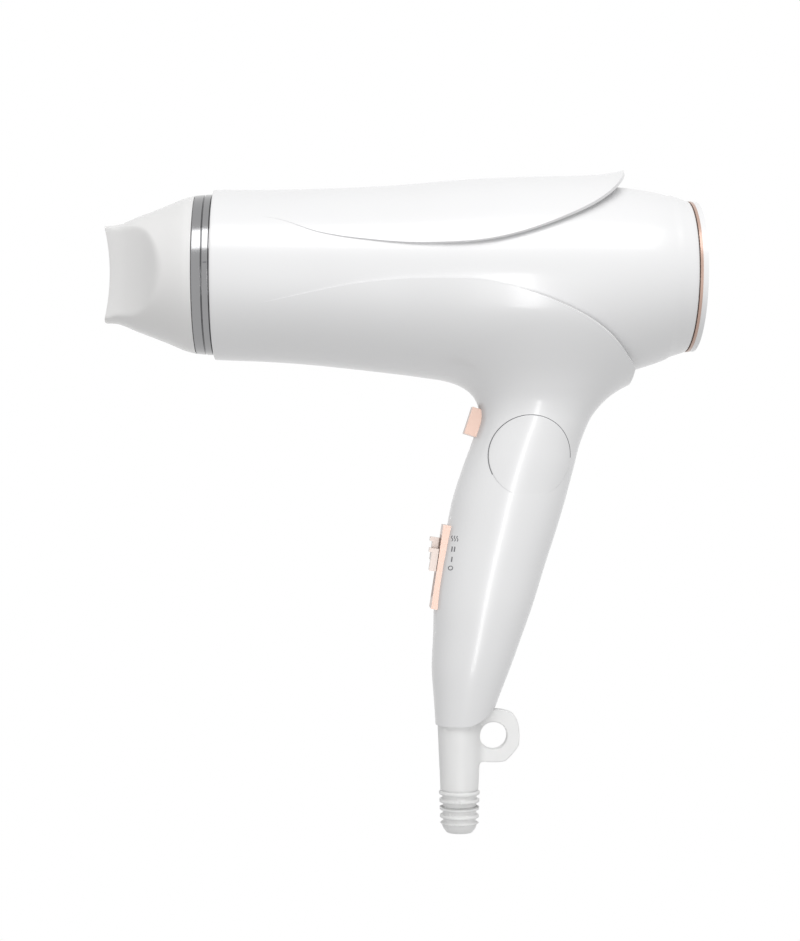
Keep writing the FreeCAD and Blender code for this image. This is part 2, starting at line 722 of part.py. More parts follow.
def cool_switch():
    """Push switch behind the cool shot button."""
    body = box("6", "10", "12", ("12.7", "0", "-6"))
    bore = cylinder("1.6", "4", ("11", "0", "0"), "X")
    return tilted(cut(body, bore), COOL)


# ---------------------------------------------------------------- cord end

SLEEVE_AXIS = "-14.3"


def cord_sleeve():
    """Soft sleeve for the cord, with ribs at its end and a hang loop at its side."""
    neck = cylinder("sleeve_radius - 2", "6.4", (SLEEVE_AXIS, "0", "-grip_length - 1"))
    collar = cylinder("sleeve_radius - 1.2", "2.6", (SLEEVE_AXIS, "0", "-grip_length + 2.6"))
    taper = {"Radius1": "sleeve_end_radius", "Radius2": "sleeve_radius", "Height": "sleeve_length - 3"}
    body = make("Cone", taper, (SLEEVE_AXIS, "0", "-grip_length - sleeve_length + 3"))
    end = make("Cone", {"Radius1": "sleeve_end_radius - 1.6", "Radius2": "sleeve_end_radius", "Height": "3"},
               (SLEEVE_AXIS, "0", "-grip_length - sleeve_length"))
    ribs = []
    for index in range(4):
        at = (SLEEVE_AXIS, "0", "-grip_length - sleeve_length + 3.6 + rib_pitch * %d" % index)
        ribs.append(cylinder("sleeve_end_radius + rib_height", "rib_pitch * 0.5", at))
    reach = "(sleeve_radius + loop_bore + 0.2)"
    hub = (SLEEVE_AXIS + " + " + reach, "-loop_thickness / 2", "-grip_length - 4")
    eye = cylinder("loop_bore + loop_wall", "loop_thickness", hub, "Y")
    web = box(reach, "loop_thickness", "loop_bore * 2 + 5",
              (SLEEVE_AXIS, "0", "-grip_length - 4 - loop_bore - 4.6"))
    hole = cylinder("loop_bore", "40", (hub[0], "-20", hub[2]), "Y")
    cord = cylinder("cord_bore", "200", (SLEEVE_AXIS, "0", "-150"))
    above = box("60", "60", "20", ("-30", "0", "-grip_length + 5.4"))
    return cut(cut(fuse(neck, collar, body, end, eye, web, *ribs), above), hole, cord, heel_relief())


def heel_relief():
    """Space that the foot of the casing fills beside the sleeve."""
    band = box("40", "60", "20", ("-42.3", "0", "-grip_length"))
    keep = cylinder("sleeve_radius - 2", "20", (SLEEVE_AXIS, "0", "-grip_length"))
    collar = cylinder("sleeve_radius - 1.2", "20", (SLEEVE_AXIS, "0", "-grip_length + 2.6"))
    corners = [("-10.5", "-grip_length + 20"), ("-10.5", "-grip_length"), ("-9", "-grip_length"),
               ("-5", "-grip_length + 2.2"), ("2", "-grip_length + 8"), ("12", "-grip_length + 8"),
               ("12", "-grip_length + 20")]
    heel = extrude(profile(corners), (0, 1, 0), "30", "30")
    return cut(fuse(band, heel), keep, collar)


def cord_clamp():
    """Bar that holds the cord's end inside the foot of the handle."""
    bar = box("8", "14", "5", (SLEEVE_AXIS + " - 1.5", "0", "-grip_length + 5.4"))
    groove = cylinder("cord_bore - 0.3", "20", (SLEEVE_AXIS, "0", "-grip_length + 4"))
    return cut(bar, groove)


def handle_screws():
    """Three screws that hold the casing halves together."""
    screws = []
    for across, height in SCREWS:
        shaft = cylinder("screw_radius", "grip_depth * 0.62", (across, "-grip_depth * 0.32", height), "Y")
        head = cylinder("screw_head", "2", (across, "grip_depth * 0.3", height), "Y")
        screws.append(fuse(shaft, head))
    return group(screws)


# ---------------------------------------------------------------- assembly

shell = casing()
NODES = {
    "casing_left": half(shell, -1),
    "casing_right": half(shell, 1),
    "top_cover": top_cover(),
    "lower_cover": lower_cover(),
    "front_grille": front_grille(),
    "fan_duct": fan_duct(),
    "motor_can": motor_can(),
    "motor_bearings": motor_bearings(),
    "motor_magnets": motor_magnets(),
    "motor_rotor": motor_rotor(),
    "motor_shaft": motor_shaft(),
    "fan_impeller": fan_impeller(),
    "heater_tube": heater_tube(),
    "mica_board_upright": mica_board(True),
    "mica_board_flat": mica_board(False),
    "heating_wire": group(coil_turns("wire_radius")),
    "thermostat": thermostat(),
    "thermal_fuse": thermal_fuse(),
    "ion_module": ion_module(),
    "ion_needle": ion_needle(),
    "filter_frame": filter_frame(),
    "filter_ring": filter_ring(),
    "rear_grille": rear_grille(),
    "filter_mesh": filter_mesh(),
    "nozzle_collar": nozzle_collar(),
    "nozzle_shell": nozzle_shell(),
    "switch_plate": switch_plate(),
    "speed_knob": knob(SPEED_SIDE, "2.4"),
    "heat_knob": knob(HEAT_SIDE, "6.4"),
    "speed_switch": switch_body(SPEED_SIDE),
    "heat_switch": switch_body(HEAT_SIDE),
    "control_board": control_board(),
    "capacitor": capacitor(),
    "choke": choke(),
    "rectifier": rectifier(),
    "front_panel_upper": front_panel(True),
    "front_panel_lower": front_panel(False),
    "cool_button": cool_button(),
    "cool_spring": cool_spring(),
    "cool_switch": cool_switch(),
    "cord_sleeve": cord_sleeve(),
    "cord_clamp": cord_clamp(),
    "handle_screws": handle_screws(),
}

for node, item in NODES.items():
    item.Label = node
doc.recompute()

faults = [item.Name for item in doc.Objects if "Invalid" in item.State or "Error" in item.State]
for node, item in NODES.items():
    if item.Shape.isNull() or not item.Shape.isValid() or item.Shape.Volume <= 0:
        faults.append(node)
if faults:
    raise SystemExit("failed: " + ", ".join(faults))

for node, item in NODES.items():
    item.Shape.exportStep("parts/%s.step" % node)
    corner = item.Shape.BoundBox
    print("%-20s %d solids %9.1f mm3  x %.1f..%.1f  y %.1f..%.1f  z %.1f..%.1f" % (
        node, len(item.Shape.Solids), item.Shape.Volume,
        corner.XMin, corner.XMax, corner.YMin, corner.YMax, corner.ZMin, corner.ZMax))
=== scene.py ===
import math

import bmesh
import bpy
import numpy as np
from mathutils import Matrix, Vector


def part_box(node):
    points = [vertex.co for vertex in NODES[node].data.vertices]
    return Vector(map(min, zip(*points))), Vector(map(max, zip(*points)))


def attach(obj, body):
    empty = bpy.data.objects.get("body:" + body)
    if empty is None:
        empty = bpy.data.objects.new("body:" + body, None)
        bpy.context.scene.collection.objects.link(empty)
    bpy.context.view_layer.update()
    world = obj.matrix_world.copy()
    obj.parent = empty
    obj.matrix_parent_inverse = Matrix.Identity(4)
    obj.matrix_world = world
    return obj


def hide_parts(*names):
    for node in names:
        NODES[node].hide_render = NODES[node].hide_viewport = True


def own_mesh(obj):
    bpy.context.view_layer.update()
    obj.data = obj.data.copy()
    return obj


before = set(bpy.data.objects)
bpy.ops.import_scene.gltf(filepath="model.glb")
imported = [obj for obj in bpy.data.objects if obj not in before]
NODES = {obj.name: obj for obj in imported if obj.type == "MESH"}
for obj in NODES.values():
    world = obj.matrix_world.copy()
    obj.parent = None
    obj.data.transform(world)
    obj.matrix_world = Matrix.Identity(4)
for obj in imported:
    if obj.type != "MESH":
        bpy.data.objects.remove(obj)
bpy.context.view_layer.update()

# Hair dryer seen from its left side. Lengths below are millimetres until they become meshes.

MM = 0.001


def reach(node, axis, end):
    """One side of a CAD node's box, in millimetres; end is 0 for low and 1 for high."""
    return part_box(node)[end]["xyz".index(axis)] / MM


# Driving places, read from the frame where it has them; the sleeve, pad and screw places are given.
AXIS = (reach("nozzle_collar", "z", 0) + reach("nozzle_collar", "z", 1)) / 2
FRONT = reach("casing_left", "x", 0)
REAR = reach("casing_left", "x", 1)
FOOT = reach("casing_left", "z", 0)
FIN_TIP = reach("top_cover", "x", 1)
CHIN_END = reach("lower_cover", "x", 1)
MOUTH_TIP = reach("nozzle_shell", "x", 0)
SLEEVE_END = reach("cord_sleeve", "z", 0)
SLEEVE_X = -14.3
PAD_X = 11.0
PAD_Z = 50.5
SCREWS = ((26.0, AXIS - 62), (15.5, AXIS - 97), (-3.6, FOOT * 0.62))


# ------------------------------------------------------------------ curves and fields

def smooth_curve(points):
    """A function through (place, value) points, smooth and without overshoot."""
    places = np.array([p[0] for p in points], float)
    values = np.array([p[1] for p in points], float)
    steps = np.diff(values) / np.diff(places)
    slopes = np.zeros(len(values))
    slopes[1:-1] = (steps[1:] + steps[:-1]) / 2
    slopes[0] = steps[0]
    slopes[-1] = steps[-1]

    def curve(place):
        place = np.clip(place, places[0], places[-1])
        index = np.clip(np.searchsorted(places, place) - 1, 0, len(places) - 2)
        width = places[index + 1] - places[index]
        t = (place - places[index]) / width
        return (values[index] * (1 + 2 * t) * (1 - t) ** 2 + values[index + 1] * t * t * (3 - 2 * t)
                + slopes[index] * width * t * (1 - t) ** 2 - slopes[index + 1] * width * t * t * (1 - t))
    return curve


def fade(value, low, high):
    """0 below low, 1 above high, smooth between."""
    t = np.clip((value - low) / (high - low), 0, 1)
    return t * t * (3 - 2 * t)


def blended(a, b, width):
    """Union of two fields with a fillet of about that width."""
    mix = np.maximum(width - np.abs(a - b), 0) / width
    return np.minimum(a, b) - mix * mix * width / 4


barrel_radius = smooth_curve([(FRONT, 32), (-75, 32.7), (-40, 34.6), (-9.6, 36.6), (20, 37.3),
                              (44.6, 35.7), (58, 33), (REAR, 28.6)])
barrel_centre = smooth_curve([(FRONT, AXIS), (-75, AXIS - .6), (-40, AXIS - 1.6), (-9.6, AXIS - 2.2),
                              (20, AXIS - 2.3), (44.6, AXIS - 1.9), (58, AXIS - .9), (REAR, AXIS)])
cover_rise = smooth_curve([(-90, 0), (-66, .35), (-40, .9), (-9.6, 2.1), (20, 2.8), (38, 3.6),
                           (CHIN_END, 4.1)])
fin_rise = smooth_curve([(-90, 0), (-66, .35), (-40, .9), (-9.6, 2.1), (20, 2.7), (34, 3.6), (42, 4.9),
                         (FIN_TIP, 6.9)])
top_lip = smooth_curve([(-92, 19), (-82, 17.6), (-68, 12.8), (-48, 9.6), (-28, 8.4), (-3.4, 10.2),
                        (21.3, 18.3), (38, 27.8), (44.5, 34.6), (FIN_TIP + .2, 42)])
low_lip = smooth_curve([(-92, -14), (-68, -9.0), (-52, -6.2), (-28, -4.8), (-3.4, -6.4), (21.3, -14.4),
                        (38, -24.2), (CHIN_END, -36)])
HANDLE = [  # height, middle, half width, half depth
    (FOOT - 3, -13.6, 9.6, 9.0), (-42, -11.9, 12.1, 11.5), (-30, -10, 14.8, 13.7), (-17, -7.4, 16.9, 15.4),
    (-5, -5.1, 18.8, 16.6), (9, -2, 20.0, 17.2), (22, 1.4, 20.8, 17.6), (34, 4.4, 21.4, 17.9),
    (46, 7.9, 21.1, 18), (55, 10.7, 20.6, 18.2), (64, 14, 20.8, 18.6), (71, 16, 22, 19.2), (77, 17.2, 23, 20),
    (86, 18, 24.5, 20.5)]
handle_middle, handle_width, handle_depth = (
    smooth_curve([(row[0], row[column]) for row in HANDLE]) for column in (1, 2, 3))


def handle_field(x, y, z):
    across = (x - handle_middle(z)) / handle_width(z)
    deep = y / handle_depth(z)
    shape = (np.abs(across) ** 2.2 + np.abs(deep) ** 2.2) ** (1 / 2.2)
    return (shape - 1) * np.minimum(handle_width(z), handle_depth(z))


def chin_field(x, y, z):
    return np.hypot(y, z - barrel_centre(x)) - barrel_radius(x) - cover_rise(x)


def lower_field(x, y, z):
    """Raised cover, neck and handle as one flowing form."""
    return blended(chin_field(x, y, z), handle_field(x, y, z), 15)


def heel(x):
    """Height of the casing's lower edge in side view."""
    return FOOT + 7.6 * np.clip((x + 13.5) / 13.3, 0, 1.4) ** 2


def lower_trim(x, y, z):
    """Negative where the left half keeps its skin: under the lip, ahead of the chin's end, above the foot."""
    under_lip = z - AXIS - low_lip(x)
    return np.maximum.reduce([under_lip, x - CHIN_END, heel(x) - z, -88 - x, y + 0.04])


def right_trim(x, y, z):
    """The same limits for the right half, with a well for each screw."""
    wells = [2.9 - np.hypot(x - across, z - height) for across, height in SCREWS]
    return np.maximum.reduce([lower_trim(x, y, z)] + wells)


def slope_of(field, spots):
    """Numerical gradient of a field at an array of points."""
    step = 0.02
    grad = np.empty_like(spots)
    for axis in range(3):
        shift = np.zeros(3)
        shift[axis] = step
        grad[:, axis] = (field(*(spots + shift).T) - field(*(spots - shift).T)) / (2 * step)
    return grad


def settle(field, spots, rounds=6):
    """Move points onto the surface where the field is zero."""
    for _ in range(rounds):
        grad = slope_of(field, spots)
        size = np.maximum((grad ** 2).sum(1), 1e-6)
        spots = spots - (field(*spots.T) / size)[:, None] * grad
    return spots


def settle_on_edge(field, trim, spots):
    """Move points onto the line where both fields are zero."""
    for _ in range(10):
        f_grad = slope_of(field, spots)
        t_grad = slope_of(trim, spots)
        ff = (f_grad * f_grad).sum(1)
        tt = (t_grad * t_grad).sum(1)
        ft = (f_grad * t_grad).sum(1)
        det = np.maximum(ff * tt - ft * ft, 1e-4)
        f = field(*spots.T)
        t = trim(*spots.T)
        a = (f * tt - t * ft) / det
        b = (t * ff - f * ft) / det
        move = a[:, None] * f_grad + b[:, None] * t_grad
        length = np.linalg.norm(move, axis=1, keepdims=True)
        spots = spots - move * np.minimum(1, 0.6 / np.maximum(length, 1e-9))
    return spots


def net(field, low, high, cell, trim=None):
    """Surface net of a field: a point per crossed cell, settled on the surface, cut by a second field."""
    lines = [np.arange(a, b + cell, cell) for a, b in zip(low, high)]
    inside = field(*np.meshgrid(*lines, indexing="ij")) < 0
    deep, wide, tall = (size - 1 for size in inside.shape)
    corners = sum(inside[i:deep + i, j:wide + j, k:tall + k].astype(int)
                  for i in (0, 1) for j in (0, 1) for k in (0, 1))
    crossed = (corners > 0) & (corners < 8)
    index = -np.ones(crossed.shape, int)
    index[crossed] = np.arange(crossed.sum())
    cells = np.argwhere(crossed)
    spots = np.column_stack([lines[axis][cells[:, axis]] + cell / 2 for axis in range(3)])
    faces = []
    for axis in range(3):
        u, v = (axis + 1) % 3, (axis + 2) % 3
        here = np.moveaxis(inside, (axis, u, v), (0, 1, 2))
        own = np.moveaxis(index, (axis, u, v), (0, 1, 2))
        flips = here[:-1, 1:-1, 1:-1] != here[1:, 1:-1, 1:-1]
        i, j, k = np.nonzero(flips)
        quad = np.column_stack([own[i, j, k], own[i, j + 1, k], own[i, j + 1, k + 1], own[i, j, k + 1]])
        outward = here[i, j + 1, k + 1]
        quad[~outward] = quad[~outward][:, ::-1]
        faces.append(quad)
    faces = np.vstack(faces)
    faces = faces[(faces >= 0).all(1)]
    spots = settle(field, spots)
    if trim is not None:
        middle = spots[faces].mean(1)
        faces = faces[trim(*middle.T) < 0]
        sides = [faces[:, [corner, (corner + 1) % 4]] for corner in range(4)]
        edges = np.sort(np.vstack(sides), axis=1)
        pairs, count = np.unique(edges, axis=0, return_counts=True)
        rim = np.unique(pairs[count == 1])
        spots[rim] = settle_on_edge(field, trim, spots[rim])
        used = np.unique(faces)
        renumber = -np.ones(len(spots), int)
        renumber[used] = np.arange(len(used))
        spots = spots[used]
        faces = renumber[faces]
    return spots, faces


# ------------------------------------------------------------------ mesh helpers

def mesh(name, spots, faces, material, body, smooth=True):
    """A mesh object from millimetre points, riding on a body."""
    data = bpy.data.meshes.new(name)
    data.from_pydata((np.asarray(spots, float) * MM).tolist(), [], [list(map(int, f)) for f in faces])
    data.validate()
    data.update()
    if smooth:
        data.shade_smooth()
    piece = bpy.data.objects.new(name, data)
    bpy.context.collection.objects.link(piece)
    data.materials.append(material)
    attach(piece, body)
    return piece


def grid_faces(rows, columns, closed=False):
    """Quads of a grid of points, numbered row by row."""
    faces = []
    last = columns if closed else columns - 1
    for row in range(rows - 1):
        for column in range(last):
            nearby = (column + 1) % columns
            faces.append((row * columns + column, row * columns + nearby,
                          (row + 1) * columns + nearby, (row + 1) * columns + column))
    return faces


def thicken(piece, thickness, bevel=0.0):
    """Give a skin its wall, inwards, and soften the wall's edges."""
    wall = piece.modifiers.new("wall", "SOLIDIFY")
    wall.thickness = thickness * MM
    wall.offset = -1
    if bevel:
        soften(piece, bevel)


def soften(piece, width, segments=3, angle=35):
    edge = piece.modifiers.new("edge", "BEVEL")
    edge.width = width * MM
    edge.segments = segments
    edge.limit_method = "ANGLE"
    edge.angle_limit = math.radians(angle)
    edge.harden_normals = True


def turned(name, profile, material, body, segments):
    """A ring turned about the airflow axis from (x, radius) points."""
    angles = np.linspace(0, 2 * math.pi, segments, endpoint=False)
    spots = [(x, r * math.sin(a), AXIS + r * math.cos(a)) for x, r in profile for a in angles]
    piece = mesh(name, spots, grid_faces(len(profile), segments, closed=True), material, body)
    flip_outward(piece)
    return piece


def flip_outward(piece):
    work = bmesh.new()
    work.from_mesh(piece.data)
    bmesh.ops.recalc_face_normals(work, faces=work.faces)
    work.to_mesh(piece.data)
    work.free()


# ------------------------------------------------------------------ materials

def plastic(name, colour, roughness, coat=0.0, bump=0.0, scale=900, translucent=0.0, metallic=0.0,
            mottle=0.012):
    """Moulded surface: faint colour drift, faint change of gloss, and a fine moulding grain."""
    material = bpy.data.materials.new(name)
    material.use_nodes = True
    nodes = material.node_tree.nodes
    links = material.node_tree.links
    shader = nodes["Principled BSDF"]
    shader.inputs["Metallic"].default_value = metallic
    shader.inputs["Coat Weight"].default_value = coat
    shader.inputs["Coat Roughness"].default_value = 0.12
    shader.inputs["Transmission Weight"].default_value = translucent
    place = nodes.new("ShaderNodeTexCoord")
    drift = nodes.new("ShaderNodeTexNoise")
    drift.inputs["Scale"].default_value = 35
    drift.inputs["Detail"].default_value = 3
    links.new(place.outputs["Object"], drift.inputs["Vector"])
    tint = nodes.new("ShaderNodeMix")
    tint.data_type = "RGBA"
    tint.inputs["A"].default_value = (*[c * (1 - mottle) for c in colour], 1)
    tint.inputs["B"].default_value = (*[min(1, c * (1 + mottle)) for c in colour], 1)
    links.new(drift.outputs["Fac"], tint.inputs["Factor"])
    links.new(tint.outputs["Result"], shader.inputs["Base Color"])
    gloss = nodes.new("ShaderNodeMapRange")
    gloss.inputs["To Min"].default_value = roughness * 0.9
    gloss.inputs["To Max"].default_value = roughness * 1.12
    links.new(drift.outputs["Fac"], gloss.inputs["Value"])
    links.new(gloss.outputs["Result"], shader.inputs["Roughness"])
    if bump:
        grain = nodes.new("ShaderNodeTexNoise")
        grain.inputs["Scale"].default_value = scale
        grain.inputs["Detail"].default_value = 4
        links.new(place.outputs["Object"], grain.inputs["Vector"])
        relief = nodes.new("ShaderNodeBump")
        relief.inputs["Strength"].default_value = bump
        relief.inputs["Distance"].default_value = 0.0001
        links.new(grain.outputs["Fac"], relief.inputs["Height"])
        links.new(relief.outputs["Normal"], shader.inputs["Normal"])
    return material


WHITE = plastic("pearl white", (0.80, 0.80, 0.805), 0.30, coat=0.35, bump=0.03, scale=1500)
PANEL_WHITE = plastic("panel white", (0.86, 0.86, 0.86), 0.22, coat=0.3)
SMOKE = plastic("nozzle grey", (0.88, 0.875, 0.87), 0.26, coat=0.2, bump=0.02, translucent=0.12)
CHROME = plastic("band chrome", (0.30, 0.30, 0.305), 0.16, metallic=1.0, mottle=0.03)
ROSE = plastic("rose gold", (0.50, 0.34, 0.275), 0.3, metallic=0.3, coat=0.2, mottle=0.03)
BEIGE = plastic("knob beige", (0.60, 0.50, 0.45), 0.3, metallic=0.1, coat=0.2)
SOFT = plastic("soft white", (0.93, 0.93, 0.925), 0.42, bump=0.06, translucent=0.18)
DARK = plastic("dark plastic", (0.035, 0.035, 0.038), 0.5, bump=0.1)
GRILLE = plastic("grille grey", (0.42, 0.42, 0.43), 0.42, bump=0.05)
STEEL = plastic("steel", (0.55, 0.55, 0.55), 0.3, metallic=1.0, mottle=0.04)
MICA = plastic("mica", (0.60, 0.52, 0.36), 0.6, bump=0.15, mottle=0.08)
BRONZE = plastic("bronze", (0.60, 0.40, 0.18), 0.35, metallic=1.0)
FERRITE = plastic("ferrite", (0.04, 0.04, 0.045), 0.55, bump=0.1)
BOARD = plastic("circuit board", (0.28, 0.17, 0.06), 0.5)
BLUE = plastic("potting blue", (0.04, 0.10, 0.30), 0.4)
YELLOW = plastic("film yellow", (0.75, 0.55, 0.08), 0.35)
# Dark grey shared by real print (the marks and the collar's tick) and the painted shadow line round the side
# pad.
PRINT_AND_PAINTED_SHADOW = plastic("print and painted shadow grey", (0.16, 0.16, 0.17), 0.5)

CAD_FINISH = {
    "front_panel_upper": PANEL_WHITE, "front_panel_lower": PANEL_WHITE, "filter_frame": WHITE,
    "switch_plate": ROSE,
    "cool_button": ROSE, "filter_ring": ROSE, "speed_knob": BEIGE, "heat_knob": BEIGE, "front_grille": DARK,
    "fan_duct": DARK, "fan_impeller": DARK, "speed_switch": DARK, "heat_switch": DARK, "cool_switch": DARK,
    "rectifier": DARK, "rear_grille": GRILLE, "filter_mesh": STEEL, "motor_can": STEEL, "motor_shaft": STEEL,
    "cool_spring": STEEL, "handle_screws": STEEL, "thermostat": STEEL, "thermal_fuse": STEEL,
    "ion_needle": STEEL,
    "motor_bearings": BRONZE, "motor_magnets": FERRITE, "choke": FERRITE, "motor_rotor": BRONZE,
    "heater_tube": MICA, "mica_board_upright": MICA, "mica_board_flat": MICA, "heating_wire": STEEL,
    "ion_module": BLUE, "control_board": BOARD, "capacitor": YELLOW, "cord_clamp": PANEL_WHITE,
}


def dress_cad():
    """Finish every CAD node that stays visible, and round the edges of the small controls."""
    for node, material in CAD_FINISH.items():
        piece = NODES[node]
        piece.data.materials.clear()
        piece.data.materials.append(material)
    for node, width in (("cool_button", 0.7), ("switch_plate", 0.8), ("speed_knob", 0.45), ("heat_knob", 0.45),
                        ("front_panel_upper", 0.35), ("front_panel_lower", 0.35), ("rear_grille", 0.2),
                        ("filter_frame", 0.3)):
        soften(NODES[node], width)
    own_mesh(NODES["cool_spring"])


# ------------------------------------------------------------------ casing

def barrel_half(side):
    """Half of the barrel tube, with its rims, the collar's bore in front and the filter's bore behind."""
    outside = np.linspace(FRONT + 0.5, REAR - 0.5, 150)
    profile = [(FRONT + 12, 30.0), (FRONT + 6, 30.0), (FRONT + 0.4, 30.0), (FRONT, 30.35), (FRONT, 31.6),
               (FRONT + 0.15, 31.9)]
    profile += [(x, float(barrel_radius(x))) for x in outside]
    profile += [(REAR - 0.1, 28.45), (REAR, 28.1), (REAR, 26.5), (REAR - 0.4, 26.2)]
    profile += [(REAR - 10, 26.2), (REAR - 10, 27)]
    profile += [(x, float(barrel_radius(x)) - 2.2) for x in np.linspace(REAR - 12, FRONT + 14, 40)]
    angles = np.radians(np.linspace(0.07, 179.93, 130))
    spots = []
    for x, r in profile:
        centre = AXIS if r < 31 and (x < FRONT + 13 or x > REAR - 11) else float(barrel_centre(x))
        spots += [(x, side * r * math.sin(a), centre + r * math.cos(a)) for a in angles]
    rows = len(profile)
    piece = mesh("barrel_%s" % ("left" if side < 0 else "right"), spots,
                 grid_faces(rows, len(angles)), WHITE, "casing")
    flip_outward(piece)
    return piece


def lower_half(side):
    """Raised lower cover, neck and handle of one side, as one flowing skin."""
    low = (-90, -43, FOOT - 2)
    high = (CHIN_END + 2, 1.5, AXIS)
    spots, faces = net(lower_field, low, high, 0.8, lower_trim if side < 0 else right_trim)
    if side > 0:
        spots[:, 1] *= -1
        faces = faces[:, ::-1]
    piece = mesh("lower_%s" % ("left" if side < 0 else "right"), spots, faces, WHITE, "casing")
    thicken(piece, 1.8, 0.22)
    return piece


def chin_end():
    """Wall that closes the gap between the barrel and the rear edge of the raised lower cover."""
    place = CHIN_END - 0.5
    centre = float(barrel_centre(place))
    lip = math.acos((AXIS + float(low_lip(place)) - centre) / float(barrel_radius(place)))
    angles = np.linspace(lip + 0.02, 2 * math.pi - lip - 0.02, 120)
    radius = np.full_like(angles, float(barrel_radius(place)) + 4)
    for _ in range(12):
        y = radius * np.sin(angles)
        z = centre + radius * np.cos(angles)
        radius = radius - np.clip(lower_field(place, y, z), -1, 1) * 0.8
    inner = np.full_like(angles, float(barrel_radius(place)) - 0.8)
    rows = [(r * np.sin(angles), centre + r * np.cos(angles)) for r in (inner, radius - 0.4)]
    spots = [(place, y, z) for across, up in rows for y, z in zip(across, up)]
    piece = mesh("chin_end", spots, grid_faces(2, len(angles)), WHITE, "casing", smooth=False)
    thicken(piece, 0.8)


def side_pad(side):
    """Raised round pad on the side of the handle; its step fades out towards the palm."""
    centre = (PAD_X, PAD_Z)
    radius = 15.4
    radii = np.concatenate([np.linspace(0.3, radius - 0.5, 40), [radius - 0.2, radius, radius]])
    angles = np.linspace(0, 2 * math.pi, 160, endpoint=False)
    grid_r, grid_a = np.meshgrid(radii, angles, indexing="ij")
    x = centre[0] + grid_r.ravel() * np.sin(grid_a.ravel())
    z = centre[1] + grid_r.ravel() * np.cos(grid_a.ravel())
    y = np.full_like(x, -17.5)
    for _ in range(12):
        slope = (lower_field(x, y + 0.02, z) - lower_field(x, y - 0.02, z)) / 0.04
        y = y - lower_field(x, y, z) / slope
    lift = 0.62 * fade(z, centre[1] - 17, centre[1] + 1) - 0.06
    ring = np.repeat(np.arange(len(radii)), len(angles))
    lift[ring == len(radii) - 2] -= 0.10
    lift[ring == len(radii) - 1] = -0.5
    spots = np.column_stack([x, (y - lift) * (-side), z])
    piece = mesh("pad_%s" % ("left" if side < 0 else "right"), spots,
                 grid_faces(len(radii), len(angles), closed=True) + [range(len(angles))],
                 WHITE, "casing")
    flip_outward(piece)
    return piece


def pad_line():
    """Fine painted shadow line round the pad's upper edge, on both sides of the handle: a dark strip that
    stands in for the shade under the pad's step.
    """
    angles = np.radians(np.linspace(-115, 91, 90))
    path = [(PAD_X + 15.55 * math.sin(a), PAD_Z + 15.55 * math.cos(a)) for a in angles]
    # Painted shadow: a dark strip laid on the skin where the pad's step casts its shade.
    line = mark_strip("pad_line_left", path, 0.3)
    mirror = line.copy()
    mirror.data = line.data.copy()
    mirror.name = "pad_line_right"
    mirror.data.transform(Matrix.Scale(-1, 4, (0, 1, 0)))
    mirror.data.flip_normals()
    bpy.context.collection.objects.link(mirror)


def top_cover():
    """Raised cover along the top, with the tail fin."""
    places = np.concatenate([np.linspace(-88, 30, 110), FIN_TIP - 18.5 * np.linspace(1, 0, 60)[1:] ** 1.7])
    spots = []
    columns = 120
    for x in places:
        radius = float(barrel_radius(x) + fin_rise(x))
        centre = float(barrel_centre(x))
        height = (AXIS + float(top_lip(x)) - centre) / radius
        half_angle = math.acos(min(0.9999, height))
        for angle in np.linspace(-half_angle, half_angle, columns):
            spots.append((x, radius * math.sin(angle), centre + radius * math.cos(angle)))
    piece = mesh("top_cover", spots, grid_faces(len(places), columns), WHITE, "casing")
    flip_outward(piece)
    if piece.data.polygons[len(piece.data.polygons) // 4].normal.z < 0:
        piece.data.flip_normals()
    thicken(piece, 1.5, 0.25)
    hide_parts("top_cover")
    return piece


# ------------------------------------------------------------------ nozzle

def nozzle():
    """Flattened concentrator with a hollow mouth."""
    back = reach("nozzle_collar", "x", 0) - 0.2
    tip = MOUTH_TIP
    length = back - tip
    cone = smooth_curve([(0, 29.7), (0.1, 28.9), (0.35, 25.4), (0.64, 21.6), (0.86, 18.7), (1, 18.3)])
    flat = smooth_curve([(0, 38), (0.37, 24.6), (0.55, 17.0), (0.75, 11.2), (1, 6.5)])
    steps = np.linspace(0, 1, 70)
    angles = np.linspace(0, 2 * math.pi, 240, endpoint=False)
    spots = []
    for t in steps:
        for angle in angles:
            side = max(abs(math.sin(angle)), 1e-6)
            radius = float(blended(float(cone(t)), float(flat(t)) / side, 1.2))
            height = radius * math.cos(angle)
            hollow = 2.2 * (1 - (height / 18.3) ** 2) * t ** 4
            spots.append((back - t * length + hollow, radius * math.sin(angle), AXIS + height))
    piece = mesh("nozzle", spots, grid_faces(len(steps), len(angles), closed=True), SMOKE, "nozzle")
    flip_outward(piece)
    thicken(piece, 1.5, 0.2)
    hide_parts("nozzle_shell")
    return piece


def collar():
    """Chrome band in two steps, with the spigot behind it."""
    front = reach("nozzle_collar", "x", 0)
    back = FRONT - 0.4
    profile = [(front, 26.2), (front, 29.5), (front + 0.25, 29.75), (back - 3.0, 30.05), (back - 2.8, 29.6),
               (back - 2.6, 29.6), (back - 2.4, 30.1), (back - 0.3, 30.2), (back, 30.0), (back, 29.7),
               (back + 8.4, 29.7), (back + 9, 29.2), (back + 9, 28.0), (back, 28.0), (back, 26.2)]
    piece = turned("collar_band", profile + [profile[0]], CHROME, "collar", segments=200)
    soften(piece, 0.12, 2)
    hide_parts("nozzle_collar")
    mark = (back - 1.9, back - 0.6)
    angles = np.radians((2.2, 3.2))
    spots = [(x, -30.22 * math.cos(a), AXIS + 30.22 * math.sin(a)) for x in mark for a in angles]
    mesh("collar_mark", spots, [(0, 1, 3, 2)], PRINT_AND_PAINTED_SHADOW, "collar", smooth=False)
    return piece


# ------------------------------------------------------------------ cord sleeve

